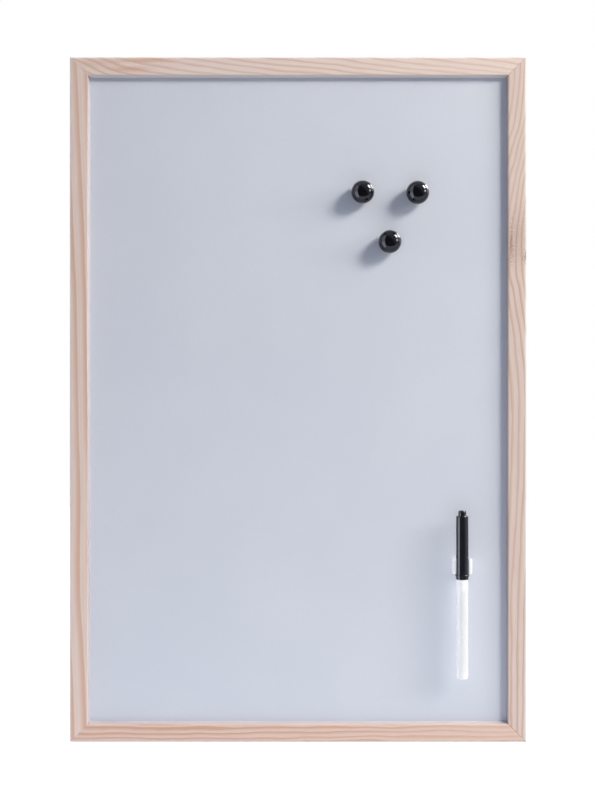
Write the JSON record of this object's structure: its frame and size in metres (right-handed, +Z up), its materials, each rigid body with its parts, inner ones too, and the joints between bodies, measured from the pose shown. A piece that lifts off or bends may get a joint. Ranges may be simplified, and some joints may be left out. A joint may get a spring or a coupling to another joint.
{
  "type": "magnetic memo board",
  "caption": "Wall-hung steel writing board in a mitred pine frame, with ball magnets and a capped marker in a magnetic clip.",
  "frame": {"origin": "middle of the top rail's back face, where the board meets the wall, 8 mm below the top edge", "axes": "+Z up, +Y towards the wall (out of the board's back), +X to the right seen from the front"},
  "size_m": [0.4, 0.0302, 0.6],
  "materials": {
    "pine": "planed pale pine, untreated",
    "enamelled_steel": "glossy pale grey enamel",
    "hardboard": "brown pressed fibreboard",
    "zinc_steel": "zinc plated",
    "nickel_magnet": "nickel plated",
    "black_plastic": "glossy black",
    "white_plastic": "glossy white",
    "ink_fibre": "bonded fibre, inked",
    "ink_felt": "pressed felt, inked"
  },
  "bodies": {
    "board": {"frame_top": "pine", "frame_bottom": "pine", "frame_left": "pine", "frame_right": "pine", "writing_sheet": "enamelled_steel", "backing_board": "hardboard", "v_nail_top_left_1": "zinc_steel", "v_nail_top_left_2": "zinc_steel", "v_nail_top_right_1": "zinc_steel", "v_nail_top_right_2": "zinc_steel", "v_nail_bottom_left_1": "zinc_steel", "v_nail_bottom_left_2": "zinc_steel", "v_nail_bottom_right_1": "zinc_steel", "v_nail_bottom_right_2": "zinc_steel", "framers_point_top_1": "zinc_steel", "framers_point_top_2": "zinc_steel", "framers_point_bottom_1": "zinc_steel", "framers_point_bottom_2": "zinc_steel", "framers_point_left_1": "zinc_steel", "framers_point_left_2": "zinc_steel", "framers_point_left_3": "zinc_steel", "framers_point_right_1": "zinc_steel", "framers_point_right_2": "zinc_steel", "framers_point_right_3": "zinc_steel", "hanger_strap_left": "zinc_steel", "hanger_screw_left": "zinc_steel", "hanger_strap_right": "zinc_steel", "hanger_screw_right": "zinc_steel"},
    "magnet_1": {"magnet_ball_1": "black_plastic", "magnet_disc_1": "nickel_magnet"},
    "magnet_2": {"magnet_ball_2": "black_plastic", "magnet_disc_2": "nickel_magnet"},
    "magnet_3": {"magnet_ball_3": "black_plastic", "magnet_disc_3": "nickel_magnet"},
    "pen_clip": {"pen_clip_body": "white_plastic", "pen_clip_magnet": "nickel_magnet"},
    "cap": {"pen_cap": "black_plastic"},
    "pen": {"pen_barrel": "white_plastic", "pen_end_plug": "white_plastic", "pen_reservoir": "ink_fibre", "pen_section": "white_plastic", "pen_nib": "ink_felt"},
    "hanger_ring_left": {"hanger_ring_left": "zinc_steel"},
    "hanger_ring_right": {"hanger_ring_right": "zinc_steel"}
  },
  "joints": [
    {"name": "magnet_1_pull", "type": "slide", "parent": "board", "child": "magnet_1", "axis": [0, -1, 0], "range_m": [0, 0.04]},
    {"name": "magnet_2_pull", "type": "slide", "parent": "board", "child": "magnet_2", "axis": [0, -1, 0], "range_m": [0, 0.04]},
    {"name": "magnet_3_pull", "type": "slide", "parent": "board", "child": "magnet_3", "axis": [0, -1, 0], "range_m": [0, 0.04]},
    {"name": "pen_clip_pull", "type": "slide", "parent": "board", "child": "pen_clip", "axis": [0, -1, 0], "range_m": [0, 0.04]},
    {"name": "capped_pen_slide", "type": "slide", "parent": "pen_clip", "child": "cap", "axis": [0, 0, -1], "range_m": [0, 0.06]},
    {"name": "pen_pull", "type": "slide", "parent": "cap", "child": "pen", "axis": [0, 0, -1], "range_m": [0, 0.06]},
    {"name": "hanger_ring_left_swing", "type": "hinge", "parent": "board", "child": "hanger_ring_left", "pos_m": [-0.19425, 0.00185, -0.092], "axis": [1, 0, 0], "range_deg": [0, 180]},
    {"name": "hanger_ring_right_swing", "type": "hinge", "parent": "board", "child": "hanger_ring_right", "pos_m": [0.19425, 0.00185, -0.092], "axis": [1, 0, 0], "range_deg": [0, 180]}
  ]
}
